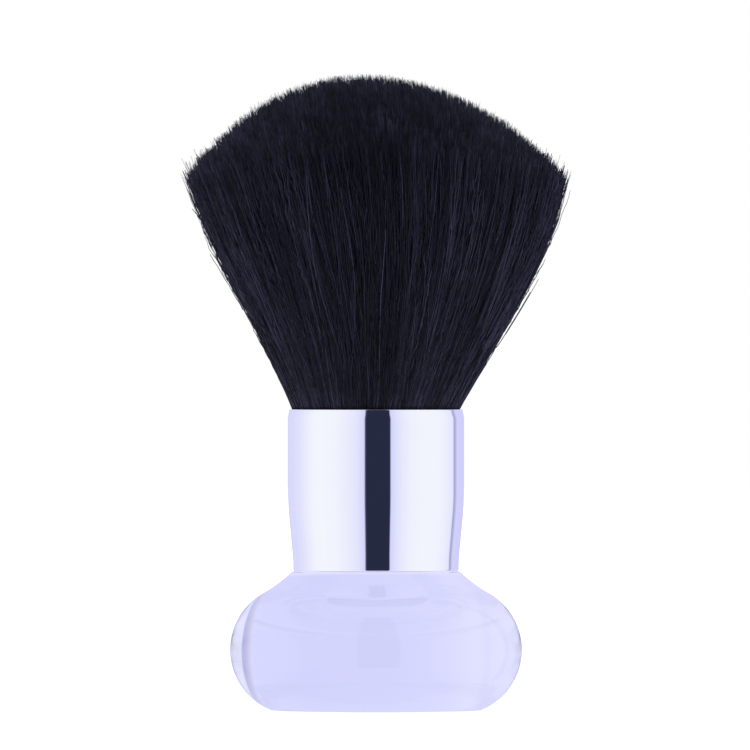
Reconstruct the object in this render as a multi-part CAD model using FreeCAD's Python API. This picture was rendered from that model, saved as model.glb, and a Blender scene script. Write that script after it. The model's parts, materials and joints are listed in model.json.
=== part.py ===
import FreeCAD, Part
import os

# Neck duster brush: a domed head of soft bristles, set in a polished ferrule on a clear base
# that fills the palm. Sizes are in millimetres.
#
# The origin is the centre of the foot, so the brush stands on the plane z = 0. +Z runs up
# the brush's axis, X runs across the bristle head and Y runs through it, front to back,
# where the head is a little narrower.

# ---- driving sizes: the whole brush ----
overall_height = 125.0
head_width = 74.2            # across the tips of the head's side rim
head_depth = 62.0            # front to back, at the height of that rim
dome_height = 19.8           # from the side rim up to the top of the trimmed dome
head_bulge = 0.5             # how far the flared sides stand out from straight

# ---- driving sizes: clear base ----
base_height = 27.35          # to the rim round the ferrule's seat
base_radius = 28.85          # at the widest height
widest_height = 11.9
foot_radius = 20.8
foot_edge_round = 0.4
seat_depth = 0.25            # how far the ferrule's foot sinks into the base
seat_rim_width = 0.2
neck_reach = 5.7             # from the seat's rim out to where the round side begins
neck_height = 4.25           # from the seat's rim down to there

# ---- driving sizes: ferrule ----
ferrule_length = 32.3
ferrule_radius = 17.4        # outside of the straight barrel
ferrule_foot_radius = 16.35  # outside, below the taper
ferrule_wall = 0.5
taper_start = 2.4            # above the ferrule's foot
taper_end = 13.6
taper_blend = 60.0           # radius of the soft bends at both ends of the taper
foot_round = 0.8
foot_least_round = 0.1       # inside the foot, where a thick wall leaves no more
mouth_curl_height = 1.6      # the mouth is gathered in over this height
mouth_curl_in = 0.35
mouth_curl_round = 5.0
mouth_edge_round = 0.2

# ---- driving sizes: pieces inside the ferrule ----
tuft_depth = 18.3            # from the ferrule's mouth down to the sleeve's web
web_thickness = 1.5
sleeve_wall = 1.55           # round the bristles
sleeve_foot_wall = 1.45      # round the base's spigot
resin_depth = 5.0
band_gap = 1.2               # from the resin up to the band
band_width = 3.5
band_wall = 0.5
root_flare_length = 4.5      # the bristles start to spread this far below the mouth
glue_groove_width = 1.8
glue_groove_depth = 0.5
spigot_edge_round = 0.6

# ---- driving sizes: bristles ----
waist_length = 8.6           # the short stretch above the mouth where the bristles bend

# ---- clearances ----
seat_clearance = 0.05        # ferrule foot in the base's seat
sleeve_clearance = 0.05      # sleeve in the ferrule
spigot_clearance = 0.08      # spigot in the sleeve, filled by glue at its grooves
lip_clearance = 0.1          # spigot in the ferrule's turned-in foot
spigot_end_gap = 0.5         # spigot below the sleeve's web
sleeve_end_gap = 0.35        # sleeve below the gathered mouth
band_clearance = 0.1         # band in the sleeve
bristle_clearance = 0.05     # bristles in the sleeve and in the ferrule's mouth

# ---- heights that follow ----
seat_height = base_height - seat_depth
shoulder_height = base_height - neck_height
mouth_height = seat_height + ferrule_length
curl_start_height = mouth_height - mouth_curl_height
lip_top_height = seat_height + ferrule_wall
web_top_height = mouth_height - tuft_depth
web_low_height = web_top_height - web_thickness
spigot_top_height = web_low_height - spigot_end_gap
resin_top_height = web_top_height + resin_depth
band_low_height = resin_top_height + band_gap
band_top_height = band_low_height + band_width
root_flare_height = mouth_height - root_flare_length
sleeve_top_height = curl_start_height - sleeve_end_gap
waist_top_height = mouth_height + waist_length
rim_height = overall_height - dome_height

# ---- radii that follow ----
seat_radius = ferrule_foot_radius + seat_clearance
seat_rim_radius = seat_radius + seat_rim_width
shoulder_radius = seat_rim_radius + neck_reach
ferrule_bore = ferrule_radius - ferrule_wall
ferrule_foot_bore = ferrule_foot_radius - ferrule_wall
mouth_radius = ferrule_radius - mouth_curl_in
mouth_bore = mouth_radius - ferrule_wall
sleeve_radius = ferrule_bore - sleeve_clearance
sleeve_foot_radius = ferrule_foot_bore - sleeve_clearance
tuft_bore = sleeve_radius - sleeve_wall
spigot_bore = min(sleeve_foot_radius, sleeve_radius) - sleeve_foot_wall
spigot_radius = spigot_bore - spigot_clearance
lip_bore = spigot_radius + lip_clearance
root_radius = tuft_bore - bristle_clearance
band_radius = tuft_bore - band_clearance
band_bore = band_radius - band_wall
tuft_mouth_radius = mouth_bore - bristle_clearance
foot_inner_round = max(foot_round - ferrule_wall, foot_least_round)

ROUND_LIMIT = 0.49           # a corner's arc uses at most this share of the runs beside it
MATCH = 1e-4                 # how closely an edge has to agree with a stated place
TRIM_MARGIN = 1.0            # how far the untrimmed bundle stands above the dome
HEAD_SPANS = 3               # stretches between the outlines that shape the head


def point(radius, height):
    """A point of a half outline, in the XZ plane."""
    return FreeCAD.Vector(radius, 0, height)


def arc_from(start, heading, end):
    """The arc that leaves start along the unit vector heading and reaches end, and its heading there."""
    chord = end - start
    along = FreeCAD.Vector(chord).normalize()
    bisector = heading + along
    middle = start + bisector * (chord.Length / bisector.dot(bisector))
    last_heading = along * (2 * heading.dot(along)) - heading
    return Part.Arc(start, middle, end).toShape(), last_heading


def straight_runs(places):
    """The edges that join a list of points in turn."""
    return [Part.LineSegment(a, b).toShape() for a, b in zip(places, places[1:])]


def turned(edges):
    """The solid that a closed half outline makes when it is turned about the Z axis."""
    outline = Part.Face(Part.Wire(Part.__sortEdges__(edges)))
    return outline.revolve(FreeCAD.Vector(0, 0, 0), FreeCAD.Vector(0, 0, 1), 360)


def turned_corners(corners):
    """The turned solid of a closed outline, given as (radius, height, corner rounding) in order."""
    places = [point(radius, height) for radius, height, rounding in corners]
    edges = []
    run_starts = []
    run_ends = []
    for index, (radius, height, rounding) in enumerate(corners):
        corner = places[index]
        arriving = corner - places[index - 1]
        leaving = places[(index + 1) % len(places)] - corner
        before = FreeCAD.Vector(arriving).normalize()
        after = FreeCAD.Vector(leaving).normalize()
        bisector = (before + after).Length / 2
        half_turn_tangent = (1 - bisector**2) ** 0.5 / bisector
        reach = min(rounding * half_turn_tangent, ROUND_LIMIT * min(arriving.Length, leaving.Length))
        run_ends.append(corner - before * reach)
        run_starts.append(corner + after * reach)
        if reach > MATCH:
            edges.append(arc_from(run_ends[-1], before, run_starts[-1])[0])
    for index, start in enumerate(run_starts):
        edges.append(Part.LineSegment(start, run_ends[(index + 1) % len(run_ends)]).toShape())
    return turned(edges)


def circles_at(shape, radius, height):
    """The shape's round edges of this radius at this height."""
    return [
        edge for edge in shape.Edges
        if isinstance(edge.Curve, Part.Circle)
        and abs(edge.Curve.Radius - radius) < MATCH
        and abs(edge.Curve.Center.z - height) < MATCH
    ]


def glue_groove_heights():
    """The lower edge of each glue groove: they sit a third and two thirds of the way up the spigot."""
    spigot_length = spigot_top_height - lip_top_height
    return [
        lip_top_height + spigot_length * share - glue_groove_width / 2
        for share in (1 / 3, 2 / 3)
    ]


def make_clear_base():
    """The solid clear base: round side, hollow neck, seat for the ferrule and glued spigot."""
    foot = point(foot_radius, 0)
    widest = point(base_radius, widest_height)
    shoulder = point(shoulder_radius, shoulder_height)
    seat_rim = point(seat_rim_radius, base_height)
    lower_side, _ = arc_from(widest, FreeCAD.Vector(0, 0, -1), foot)
    upper_side, shoulder_heading = arc_from(widest, FreeCAD.Vector(0, 0, 1), shoulder)
    neck, _ = arc_from(shoulder, shoulder_heading, seat_rim)

    inside = [seat_rim, point(seat_radius, base_height), point(seat_radius, seat_height)]
    inside.append(point(spigot_radius, seat_height))
    groove_radius = spigot_radius - glue_groove_depth
    for low in glue_groove_heights():
        high = low + glue_groove_width
        inside += [point(spigot_radius, low), point(groove_radius, low)]
        inside += [point(groove_radius, high), point(spigot_radius, high)]
    inside += [point(spigot_radius, spigot_top_height), point(0, spigot_top_height), point(0, 0), foot]

    base = turned([lower_side, upper_side, neck] + straight_runs(inside))
    base = base.makeFillet(foot_edge_round, circles_at(base, foot_radius, 0))
    return base.makeFillet(spigot_edge_round, circles_at(base, spigot_radius, spigot_top_height))


def make_ferrule():
    """The polished shell: turned-in foot, soft taper, straight barrel and gathered mouth."""
    low = seat_height + taper_start
    high = seat_height + taper_end
    return turned_corners([
        (lip_bore, seat_height, 0),
        (ferrule_foot_radius, seat_height, foot_round),
        (ferrule_foot_radius, low, taper_blend),
        (ferrule_radius, high, taper_blend),
        (ferrule_radius, curl_start_height, mouth_curl_round),
        (mouth_radius, mouth_height, mouth_edge_round),
        (mouth_bore, mouth_height, mouth_edge_round),
        (ferrule_bore, curl_start_height, mouth_curl_round),
        (ferrule_bore, high, taper_blend),
        (ferrule_foot_bore, low, taper_blend),
        (ferrule_foot_bore, lip_top_height, foot_inner_round),
        (lip_bore, lip_top_height, 0),
    ])


def tuft_edge(height):
    """The radius of the bristles inside the ferrule at a height above where they start to spread."""
    share = (height - root_flare_height) / root_flare_length
    return root_radius + share * (tuft_mouth_radius - root_radius)


def make_inner_sleeve():
    """The plastic liner that joins the two halves: spigot bore below its web, bristle bore above."""
    return turned_corners([
        (0, web_low_height, 0),
        (spigot_bore, web_low_height, 0),
        (spigot_bore, lip_top_height, 0),
        (sleeve_foot_radius, lip_top_height, foot_inner_round + sleeve_clearance),
        (sleeve_foot_radius, seat_height + taper_start, taper_blend),
        (sleeve_radius, seat_height + taper_end, taper_blend),
        (sleeve_radius, sleeve_top_height, 0),
        (tuft_edge(sleeve_top_height) + bristle_clearance, sleeve_top_height, 0),
        (tuft_bore, root_flare_height, 0),
        (tuft_bore, web_top_height, 0),
        (0, web_top_height, 0),
    ])


def make_spigot_glue():
    """The two rings of adhesive that fill the spigot's grooves out to the sleeve."""
    groove_radius = spigot_radius - glue_groove_depth
    rings = [
        turned_corners([
            (groove_radius, low, 0),
            (spigot_bore, low, 0),
            (spigot_bore, low + glue_groove_width, 0),
            (groove_radius, low + glue_groove_width, 0),
        ])
        for low in glue_groove_heights()
    ]
    return Part.makeCompound(rings)


def make_root_resin():
    """The resin that the cut ends of the bristles are set in."""
    resin = Part.makeCylinder(tuft_bore, resin_depth)
    resin.translate(FreeCAD.Vector(0, 0, web_top_height))
    return resin


def make_root_band():
    """The crimped band that ties the bundle before it is set."""
    return turned_corners([
        (band_bore, band_low_height, 0),
        (band_radius, band_low_height, band_wall / 2),
        (band_radius, band_top_height, band_wall / 2),
        (band_bore, band_top_height, 0),
    ])


def make_bristle_root():
    """The bundle inside the ferrule, from the resin to the mouth, drawn in where the band grips it."""
    return turned_corners([
        (0, resin_top_height, 0),
        (root_radius, resin_top_height, 0),
        (root_radius, band_low_height, 0),
        (band_bore, band_low_height, 0),
        (band_bore, band_top_height, 0),
        (root_radius, band_top_height, 0),
        (root_radius, root_flare_height, 0),
        (tuft_mouth_radius, mouth_height, 0),
        (0, mouth_height, 0),
    ])


def head_section(height):
    """The oval outline of the free bristles at a height: round at the mouth, wider than deep above."""
    share = (height - mouth_height) / (rim_height - mouth_height)
    bulge = 4 * head_bulge * share * (1 - share)
    half_width = tuft_mouth_radius + share * (head_width / 2 - tuft_mouth_radius) + bulge
    half_depth = tuft_mouth_radius + share * (head_depth / 2 - tuft_mouth_radius) + bulge
    centre = FreeCAD.Vector(0, 0, height)
    across = centre + FreeCAD.Vector(half_width, 0, 0)
    through = centre + FreeCAD.Vector(0, half_depth, 0)
    if abs(half_width - half_depth) < MATCH:
        return Part.Wire(Part.Circle(centre, FreeCAD.Vector(0, 0, 1), half_width).toShape())
    longer, shorter = (across, through) if half_width > half_depth else (through, across)
    return Part.Wire(Part.Ellipse(longer, shorter, centre).toShape())


def flared_bundle(heights):
    """The free bristles between the first and last of some heights."""
    return Part.makeLoft([head_section(height) for height in heights], True, False)


def make_bristle_waist():
    """The short stretch above the mouth where the bristles bend."""
    middle = (mouth_height + waist_top_height) / 2
    return flared_bundle([mouth_height, middle, waist_top_height])


def dome_trim():
    """A round-nosed bar: its nose is the dome that the bristles are trimmed to."""
    dome_radius = ((head_width / 2) ** 2 + dome_height**2) / (2 * dome_height)
    nose_height = overall_height - dome_radius
    end_height = min(nose_height, waist_top_height) - TRIM_MARGIN
    nose, _ = arc_from(point(dome_radius, nose_height), FreeCAD.Vector(0, 0, 1), point(0, overall_height))
    bar = [point(0, overall_height), point(0, end_height)]
    bar += [point(dome_radius, end_height), point(dome_radius, nose_height)]
    return turned([nose] + straight_runs(bar))


def make_bristle_head():
    """The free length of the bristles, trimmed to a dome that meets the side rim."""
    step = (overall_height + TRIM_MARGIN - waist_top_height) / HEAD_SPANS
    heights = [waist_top_height + step * index for index in range(HEAD_SPANS + 1)]
    return flared_bundle(heights).common(dome_trim()).Solids[0]


PIECES = {
    "clear_base": make_clear_base,
    "ferrule": make_ferrule,
    "inner_sleeve": make_inner_sleeve,
    "spigot_glue": make_spigot_glue,
    "root_resin": make_root_resin,
    "root_band": make_root_band,
    "bristle_root": make_bristle_root,
    "bristle_waist": make_bristle_waist,
    "bristle_head": make_bristle_head,
}

os.makedirs("parts", exist_ok=True)
for name, make in PIECES.items():
    shape = make()
    if not shape.isValid():
        raise ValueError(f"{name} isn't a valid solid")
    shape.exportStep(f"parts/{name}.step")
    print(f"{name}: {len(shape.Solids)} solid, {shape.Volume / 1000:.3f} cm3")
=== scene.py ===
"""Neck duster brush: a clear palm-grip base, a polished ferrule and a domed head of soft bristles.

Everything is in metres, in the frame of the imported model: the origin is the centre of the foot,
+Z runs up the brush and +X across the bristle head.
"""

import cmath
import json
import logging
import math
from dataclasses import asdict, dataclass, field
from enum import Enum
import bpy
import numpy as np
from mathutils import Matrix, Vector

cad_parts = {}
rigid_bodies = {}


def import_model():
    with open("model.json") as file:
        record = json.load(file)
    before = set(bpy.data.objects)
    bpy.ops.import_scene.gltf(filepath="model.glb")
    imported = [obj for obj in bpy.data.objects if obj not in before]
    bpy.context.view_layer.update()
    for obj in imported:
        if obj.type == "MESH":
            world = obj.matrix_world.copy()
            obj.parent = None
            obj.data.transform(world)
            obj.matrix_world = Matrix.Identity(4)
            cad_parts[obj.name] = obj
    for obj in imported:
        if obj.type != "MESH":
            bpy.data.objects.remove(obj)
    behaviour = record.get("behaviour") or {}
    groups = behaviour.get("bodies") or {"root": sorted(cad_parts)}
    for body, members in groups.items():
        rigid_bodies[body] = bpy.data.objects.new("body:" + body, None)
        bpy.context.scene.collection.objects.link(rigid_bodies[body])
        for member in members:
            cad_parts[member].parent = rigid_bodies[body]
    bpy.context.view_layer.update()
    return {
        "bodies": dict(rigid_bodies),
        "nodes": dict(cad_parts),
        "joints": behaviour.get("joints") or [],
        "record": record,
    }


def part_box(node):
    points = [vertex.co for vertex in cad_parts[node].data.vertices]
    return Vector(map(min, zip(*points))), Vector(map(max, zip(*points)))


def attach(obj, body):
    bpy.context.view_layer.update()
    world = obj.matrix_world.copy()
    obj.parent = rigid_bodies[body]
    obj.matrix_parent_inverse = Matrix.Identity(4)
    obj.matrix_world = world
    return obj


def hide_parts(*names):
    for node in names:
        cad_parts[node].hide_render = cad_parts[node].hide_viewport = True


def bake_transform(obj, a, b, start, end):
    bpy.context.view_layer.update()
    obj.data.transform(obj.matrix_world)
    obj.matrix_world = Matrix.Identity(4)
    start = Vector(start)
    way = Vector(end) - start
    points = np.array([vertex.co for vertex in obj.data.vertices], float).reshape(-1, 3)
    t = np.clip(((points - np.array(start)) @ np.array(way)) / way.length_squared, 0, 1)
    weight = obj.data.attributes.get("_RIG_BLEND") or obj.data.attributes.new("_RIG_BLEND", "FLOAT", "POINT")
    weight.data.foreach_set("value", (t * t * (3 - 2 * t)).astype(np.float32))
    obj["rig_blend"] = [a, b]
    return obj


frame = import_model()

from types import SimpleNamespace
from typing import Any, ClassVar, Iterator, Mapping, Optional, Self, Sequence, Union

import bmesh
import bpy

log = logging.getLogger("neck_duster_brush")

MM = 0.001
FULL_TURN = 2 * math.pi
WHITE = (1.0, 1.0, 1.0)
HANDLE = "handle"
BRISTLES = "bristles"
STRAND_MAP = "OFBake"

Colour = tuple[float, float, float]
Point = tuple[float, float, float]
Corner = tuple[float, float, float]
Span = tuple[float, float]
Key = Union[int, str]
Socket = bpy.types.NodeSocket
Piece = bpy.types.Object
Material = bpy.types.Material
Value = Union[float, int, str, Sequence[float], "Wire", Socket, bpy.types.ID]


# ---- node building


class Wire:
    """One output of a node tree. Python's operators on it add nodes to the tree."""

    node_kind: ClassVar[str]

    def __init__(self, bench: "Bench", socket: Socket) -> None:
        """Wraps one output socket of a bench's tree."""
        self.bench = bench
        self.socket = socket

    def maths(self, operation: str, *others: Value, **settings: Any) -> Self:
        """One Math or Vector Math node on this value and others.

        Args:
            operation: the node's operation.
            others: the remaining operands, plain or from the tree.
            settings: the node's other properties.

        Returns:
            The result, of the same kind as this value.
        """
        settings["operation"] = operation
        node = self.bench.add(self.node_kind, settings, dict(enumerate((self, *others))))
        return type(self)(self.bench, node.outputs[0])

    def __add__(self, other: Value) -> Self:
        """self + other."""
        return self.maths("ADD", other)

    def __radd__(self, other: Value) -> Self:
        """other + self."""
        return self + other

    def __sub__(self, other: Value) -> Self:
        """self - other."""
        return self.maths("SUBTRACT", other)

    def __rsub__(self, other: Value) -> Self:
        """other - self."""
        return (self * -1.0) + other

    def __mul__(self, other: Value) -> Self:
        """self * other."""
        return self.maths("MULTIPLY", other)

    def __rmul__(self, other: Value) -> Self:
        """other * self."""
        return self * other


class Signal(Wire):
    """A number in a node tree, shader or geometry."""

    node_kind = "ShaderNodeMath"

    def __truediv__(self, other: Value) -> Self:
        """self / other."""
        return self.maths("DIVIDE", other)

    def __rtruediv__(self, other: float) -> "Signal":
        """other / self."""
        return self.bench.signal(self.node_kind, {"operation": "DIVIDE"}, {0: other, 1: self})

    def __pow__(self, other: Value) -> Self:
        """self ** other."""
        return self.maths("POWER", other)

    def root(self) -> Self:
        """The square root."""
        return self.maths("SQRT")

    def whole(self) -> Self:
        """The whole number below."""
        return self.maths("FLOOR")

    def held(self) -> Self:
        """The value held between 0 and 1."""
        return self.maths("ADD", 0.0, use_clamp=True)

    def between(self, low: float, high: float) -> "Signal":
        """A soft step from 0 at low to 1 at high.

        Args:
            low: where the step starts.
            high: where it ends, above or below low.

        Returns:
            The step as a signal.
        """
        inputs = {"Value": self, "From Min": low, "From Max": high}
        return self.bench.signal("ShaderNodeMapRange", {"interpolation_type": "SMOOTHSTEP"}, inputs)


class Arrow(Wire):
    """A vector in a node tree."""

    node_kind = "ShaderNodeVectorMath"

    def __mul__(self, other: Value) -> "Arrow":
        """self scaled by a number, or multiplied part by part with an arrow."""
        if isinstance(other, Arrow):
            return self.maths("MULTIPLY", other)
        return self.bench.arrow(self.node_kind, {"operation": "SCALE"}, {"Vector": self, "Scale": other})

    def unit(self) -> Self:
        """The vector at length 1."""
        return self.maths("NORMALIZE")

    def cross(self, other: Value) -> Self:
        """The cross product with other."""
        return self.maths("CROSS_PRODUCT", other)

    def dot(self, other: Value) -> Signal:
        """The dot product with other."""
        return self.bench.signal(self.node_kind, {"operation": "DOT_PRODUCT"}, {0: self, 1: other}, "Value")

    def parts(self) -> tuple[Signal, Signal, Signal]:
        """The vector's three numbers."""
        node = self.bench.add("ShaderNodeSeparateXYZ", {}, {"Vector": self})
        return tuple(Signal(self.bench, socket) for socket in node.outputs)


class Bench:
    """Adds nodes to one tree: type, then settings, then the values or links of its sockets."""

    def __init__(self, tree: bpy.types.NodeTree) -> None:
        """Starts on a tree, keeping what it already holds."""
        self.tree = tree

    def add(
        self, kind: str, settings: Optional[Mapping] = None, inputs: Optional[Mapping[Key, Value]] = None
    ) -> bpy.types.Node:
        """Adds one node.

        Args:
            kind: the node's type name.
            settings: its properties; "stops" fills a colour ramp with (place, colour) pairs.
            inputs: values or links by socket name, identifier or index.

        Returns:
            The new node.
        """
        node = self.tree.nodes.new(kind)
        for name, value in (settings or {}).items():
            if name == "stops":
                self._fill_ramp(node.color_ramp, value)
            else:
                setattr(node, name, value)
        for key, value in (inputs or {}).items():
            self._feed(self._socket(node, key), value)
        return node

    def signal(self, kind: str, settings: Mapping, inputs: Mapping, output: Key = 0) -> Signal:
        """Adds a node and wraps one of its outputs as a number."""
        return Signal(self, self.add(kind, settings, inputs).outputs[output])

    def arrow(self, kind: str, settings: Mapping, inputs: Mapping, output: Key = 0) -> Arrow:
        """Adds a node and wraps one of its outputs as a vector."""
        return Arrow(self, self.add(kind, settings, inputs).outputs[output])

    def combine(self, x: Value, y: Value, z: Value = 0.0) -> Arrow:
        """A vector from its three numbers."""
        return self.arrow("ShaderNodeCombineXYZ", {}, {"X": x, "Y": y, "Z": z})

    def blend_colours(self, share: Value, first: Value, second: Value) -> Socket:
        """Mixes two colours.

        Args:
            share: 0 for the first colour, 1 for the second.
            first: a colour or a colour socket.
            second: a colour or a colour socket.

        Returns:
            The mixed colour's socket.
        """
        inputs = {"Factor_Float": share, "A_Color": first, "B_Color": second}
        node = self.add("ShaderNodeMix", {"data_type": "RGBA", "clamp_factor": True}, inputs)
        return next(socket for socket in node.outputs if socket.enabled)

    def _fill_ramp(self, ramp: bpy.types.ColorRamp, stops: Sequence[tuple[float, Colour]]) -> None:
        """Sets a colour ramp's stops, in order of place."""
        while len(ramp.elements) > 1:
            ramp.elements.remove(ramp.elements[-1])
        ramp.elements[0].position = stops[0][0]
        ramp.elements[0].color = (*stops[0][1], 1.0)
        for place, colour in stops[1:]:
            ramp.elements.new(place).color = (*colour, 1.0)

    def _socket(self, node: bpy.types.Node, key: Key) -> Socket:
        """Finds an input by index, identifier or the name of one in use."""
        if isinstance(key, int):
            return node.inputs[key]
        live = [socket for socket in node.inputs if socket.enabled]
        by_identifier = [socket for socket in live if socket.identifier == key]
        return (by_identifier or [socket for socket in live if socket.name == key])[0]

    def _feed(self, socket: Socket, value: Value) -> None:
        """Links a socket, or sets its own value."""
        if isinstance(value, (Wire, Socket)):
            self.tree.links.new(value.socket if isinstance(value, Wire) else value, socket)
        elif socket.type == "RGBA" and len(value) == 3:
            socket.default_value = (*value, 1.0)
        else:
            socket.default_value = value


# ---- finishes


@dataclass(frozen=True)
class Pattern:
    """A noise pattern: lumps to the metre, finer layers on them, and how each axis is squeezed."""

    scale: float
    detail: float = 3.0
    squeeze: Point = (1.0, 1.0, 1.0)


class SurfaceBench(Bench):
    """A bench on a new material with one Principled shader."""

    def __init__(self, name: str, constants: Mapping[str, Value]) -> None:
        """Starts a material.

        Args:
            name: the material's name.
            constants: values set on the shader's own sockets, the same all over the surface.
        """
        self.material = bpy.data.materials.new(name)
        self.material.use_nodes = True
        super().__init__(self.material.node_tree)
        self.tree.nodes.clear()
        self.shader = self.add("ShaderNodeBsdfPrincipled", {}, constants)
        self.add("ShaderNodeOutputMaterial", {}, {"Surface": self.shader.outputs["BSDF"]})

    def place(self) -> Arrow:
        """The place on the piece, in Object coordinates."""
        return self.arrow("ShaderNodeTexCoord", {}, {}, "Object")

    def noise(self, pattern: Pattern, where: Optional[Arrow] = None) -> Signal:
        """Soft noise between 0 and 1.

        Args:
            pattern: how fine it is and how it is squeezed.
            where: the coordinates, or None for Object coordinates.

        Returns:
            The noise as a signal.
        """
        squeezed = {"Vector": where or self.place(), "Scale": pattern.squeeze}
        where = self.arrow("ShaderNodeMapping", {}, squeezed)
        inputs = {"Vector": where, "Scale": pattern.scale, "Detail": pattern.detail}
        return self.signal("ShaderNodeTexNoise", {}, inputs)

    def feed(self, **links: Value) -> Material:
        """Links what varies to the shader.

        Args:
            links: values for the shader's sockets, with _ for a space in their names.

        Returns:
            The finished material.
        """
        for name, value in links.items():
            self._feed(self._socket(self.shader, name.replace("_", " ")), value)
        return self.material

    def relief(self, height: Signal, depth: float) -> Socket:
        """A bump from a height between 0 and 1 that stands depth metres high."""
        inputs = {"Height": height, "Distance": depth, "Strength": 1.0}
        return self.add("ShaderNodeBump", {}, inputs).outputs["Normal"]


@dataclass(frozen=True)
class ClearAcrylic:
    """Cast acrylic with a cool tint: clear right through, with a faint flow in its gloss, and a faint painted
    glow from its own emission that lightens it though it is no lamp.
    """

    tint: Colour = (0.992, 0.992, 1.0)
    deep_tint: Colour = (0.975, 0.975, 0.995)
    refraction: float = 1.49
    # painted glow: a faint emission that lightens the clear base, though it is no lamp
    glow: Colour = (0.84, 0.84, 0.88)
    glow_strength: float = 0.022
    flow: Pattern = Pattern(38.0, 2.0, (1.0, 1.0, 0.4))
    flow_depth: float = 0.02 * MM
    handling: Pattern = Pattern(900.0, 4.0)
    handled: Span = (0.62, 0.80)
    roughness: float = 0.002
    handled_roughness: float = 0.012

    def make(self) -> Material:
        """Builds the material."""
        constants = {"IOR": self.refraction, "Transmission Weight": 1.0}
        # the emission here is painted glow, not a lamp
        constants |= {"Emission Color": self.glow, "Emission Strength": self.glow_strength}
        bench = SurfaceBench("clear_acrylic", constants)
        flow = bench.noise(self.flow)
        handling = bench.noise(self.handling).between(*self.handled)
        return bench.feed(
            Base_Color=bench.blend_colours(flow, self.tint, self.deep_tint),
            Roughness=handling * self.handled_roughness + self.roughness,
            Normal=bench.relief(flow, self.flow_depth),
        )


@dataclass(frozen=True)
class GrainedFinish:
    """An opaque finish: a cloud in its colour, and a grain in its gloss and its relief."""

    name: str
    constants: Mapping[str, Value]
    first: Colour
    second: Colour
    cloud: Pattern
    grain: Pattern
    grain_depth: float
    roughness: float
    grain_roughness: float
    cloud_roughness: float = 0.0
    dents: Optional[Pattern] = None

    def make(self) -> Material:
        """Builds the material."""
        bench = SurfaceBench(self.name, self.constants)
        cloud, grain = bench.noise(self.cloud), bench.noise(self.grain)
        height = grain * 0.5 + bench.noise(self.dents) * 0.5 if self.dents else grain
        return bench.feed(
            Base_Color=bench.blend_colours(cloud, self.first, self.second),
            Roughness=grain * self.grain_roughness + cloud * self.cloud_roughness + self.roughness,
            Normal=bench.relief(height, self.grain_depth),
        )


ROLLED_LINES = Pattern(500.0, 4.0, (1.0, 1.0, 30.0))
STRAND_LINES = Pattern(1500.0, 4.0, (1.0, 1.0, 0.06))

# Plated metal, buffed round and round: a mirror with hairline polish marks.
POLISHED_METAL = GrainedFinish(
    name="polished_metal", constants={"Metallic": 1.0}, first=(0.99, 0.99, 1.0), second=(0.97, 0.97, 0.99),
    cloud=Pattern(120.0), grain=Pattern(260.0, 5.0, (1.0, 1.0, 28.0)), grain_depth=0.0004 * MM,
    roughness=0.015, grain_roughness=0.03, cloud_roughness=0.015,
)
# White moulded plastic with a fine matt grain.
MOULDED_SLEEVE = GrainedFinish(
    name="sleeve_plastic", constants={"IOR": 1.46}, first=(0.92, 0.92, 0.93), second=(0.86, 0.86, 0.88),
    cloud=Pattern(90.0), grain=Pattern(3200.0), grain_depth=0.012 * MM, roughness=0.38, grain_roughness=0.15,
)
# Soft aluminium strip with rolling lines along it and small dents.
CRIMPED_BAND = GrainedFinish(
    name="band_metal", constants={"Metallic": 1.0}, first=(0.66, 0.67, 0.69), second=(0.50, 0.51, 0.54),
    cloud=ROLLED_LINES, grain=ROLLED_LINES, dents=Pattern(700.0, 2.0), grain_depth=0.015 * MM,
    roughness=0.22, grain_roughness=0.2,
)
# The dense middle of the bundle, where strands are seen only as dark, fine lines.
PACKED_BRISTLE = GrainedFinish(
    name="packed_bristle", constants={"Specular IOR Level": 0.04}, first=(0.0035, 0.0036, 0.0045),
    second=(0.009, 0.009, 0.013), cloud=STRAND_LINES, grain=STRAND_LINES, grain_depth=0.2 * MM,
    roughness=0.55, grain_roughness=0.2,
)


class Setting(Enum):
    """What a poured or spread filling is, by its name in the record."""

    GLUE = "cured_glue"
    RESIN = "setting_resin"


@dataclass(frozen=True)
class PouredFilling:
    """A filling that set in place: glossy, cloudy and speckled with small bubbles."""

    setting: Setting
    clear: Colour
    cloudy: Colour
    bubble: Colour
    cloud: Pattern = Pattern(420.0, 4.0)
    bubble_scale: float = 1500.0
    bubble_edge: Span = (0.24, 0.12)
    bubble_share: float = 0.7
    bubble_depth: float = 0.03 * MM
    roughness: float = 0.12
    cloud_roughness: float = 0.2
    gloss: float = 0.4
    bubble_gloss: float = 0.3

    def make(self) -> Material:
        """Builds the material."""
        bench = SurfaceBench(self.setting.value, {"IOR": 1.52, "Coat Roughness": 0.08})
        cloud = bench.noise(self.cloud)
        cells = {"Vector": bench.place(), "Scale": self.bubble_scale}
        bubbles = bench.signal("ShaderNodeTexVoronoi", {}, cells, "Distance").between(*self.bubble_edge)
        body = bench.blend_colours(cloud, self.clear, self.cloudy)
        return bench.feed(
            Base_Color=bench.blend_colours(bubbles * self.bubble_share, body, self.bubble),
            Roughness=cloud * self.cloud_roughness + self.roughness,
            Coat_Weight=self.gloss - bubbles * self.bubble_gloss,
            Normal=bench.relief(1.0 - bubbles, self.bubble_depth),
        )


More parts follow.
